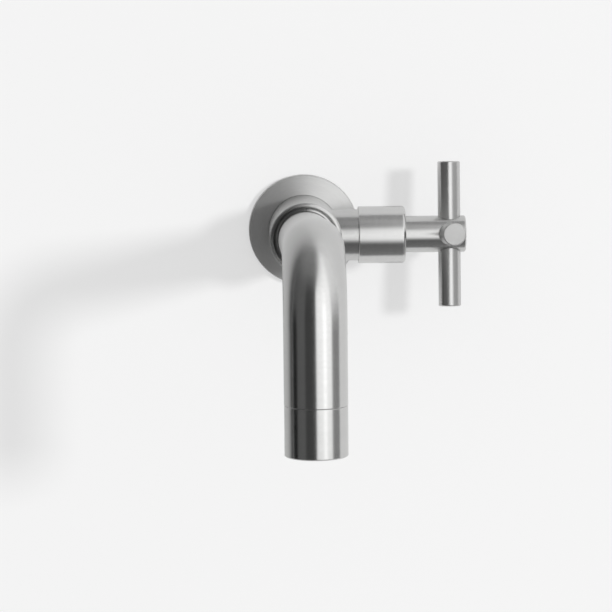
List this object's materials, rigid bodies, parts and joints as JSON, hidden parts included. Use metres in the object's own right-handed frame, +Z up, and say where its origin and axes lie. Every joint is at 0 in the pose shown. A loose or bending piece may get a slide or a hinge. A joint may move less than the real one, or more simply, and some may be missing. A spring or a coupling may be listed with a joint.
{
  "type": "wall tap",
  "caption": "Wall-mounted single tap in brushed steel with a long swivelling spout, a round wall flange and a side cross handle that opens it in a quarter turn.",
  "frame": {"origin": "where the tap's main axis meets the finished wall", "axes": "+Z up, +Y into the wall along the main axis, +X towards the handle"},
  "size_m": [0.0965, 0.2531, 0.1014],
  "materials": {
    "steel": "brushed satin",
    "spring_steel": "plain",
    "brass": "turned",
    "rubber": "matt black",
    "fibre": "matt",
    "foam": "open foam",
    "ceramic": "lapped ceramic",
    "nylon": "matt white"
  },
  "bodies": {
    "wall_body": {"tap_body": "steel", "inlet_nipple": "brass", "inlet_gasket": "fibre", "flange_cover": "steel", "flange_seal": "foam", "flange_oring": "rubber", "bearing_ring": "steel", "spout_set_screw": "spring_steel", "valve_sleeve": "steel", "sleeve_oring": "rubber", "cartridge_body": "brass", "cartridge_oring": "rubber", "seat_seal": "rubber", "fixed_disc": "ceramic"},
    "spout": {"spout_neck": "steel", "spout_oring": "rubber", "spout_tube": "steel", "outlet_housing": "steel", "outlet_oring": "rubber", "aerator_washer": "rubber", "aerator_screen": "spring_steel", "aerator_cage": "nylon"},
    "handle": {"moving_disc": "ceramic", "spindle": "brass", "spindle_orings": "rubber", "slide_washer": "nylon", "circlip": "spring_steel", "stop_ring": "brass", "handle_hub": "steel", "hub_grub_screw": "spring_steel", "cross_bar": "steel", "front_arm": "steel", "rear_arm": "steel"}
  },
  "joints": [
    {"name": "spout_swivel", "type": "hinge", "parent": "wall_body", "child": "spout", "pos_m": [0, -0.05685, 0], "axis": [0, -1, 0], "range_deg": [-45, 45]},
    {"name": "handle_turn", "type": "hinge", "parent": "wall_body", "child": "handle", "pos_m": [0.06438, -0.036, 0], "axis": [1, 0, 0], "range_deg": [0, 90]}
  ]
}
